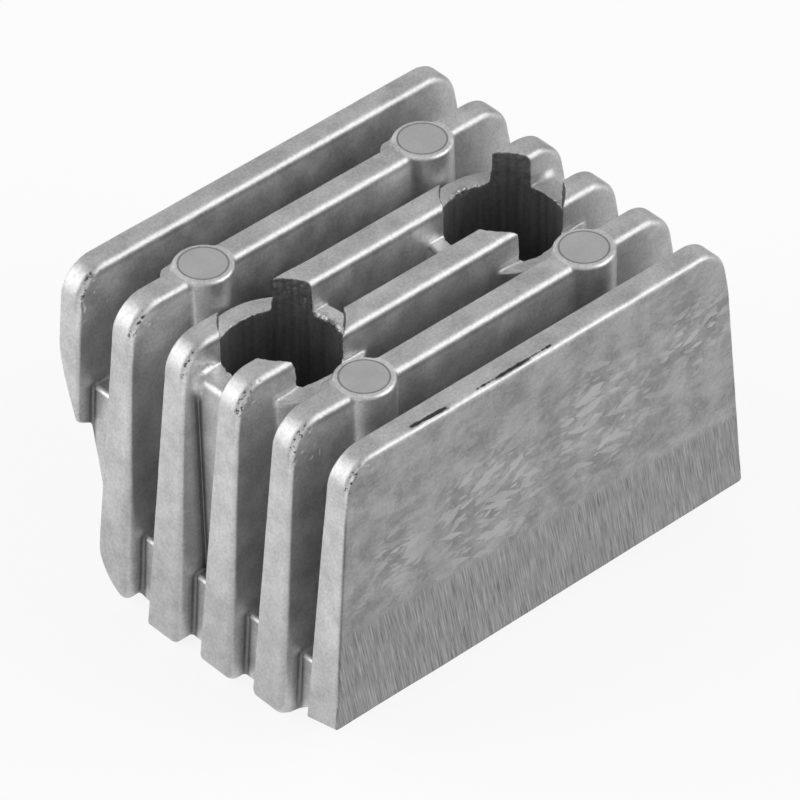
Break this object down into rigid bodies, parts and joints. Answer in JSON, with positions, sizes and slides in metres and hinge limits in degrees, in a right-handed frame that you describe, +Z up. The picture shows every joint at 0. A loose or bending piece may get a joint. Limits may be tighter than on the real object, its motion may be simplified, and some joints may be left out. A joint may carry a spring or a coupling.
{
  "type": "sacrificial anode",
  "caption": "Die-cast finned block anode with two deep round bolt pockets between its middle fins and a flat seat underneath.",
  "frame": {"origin": "on the flat seat, midway between the axes of the two bolt holes", "axes": "+X along the fins, +Y from the flat front plate to the back fin, +Z up from the seat, the way the bolt heads face"},
  "size_m": [0.0644, 0.0494, 0.0416],
  "materials": {
    "cast_metal": "bare satin die-cast metal, mottled, with a sanded band low on the front plate"
  },
  "bodies": {
    "root": {"anode_casting": "cast_metal"}
  },
  "joints": []
}
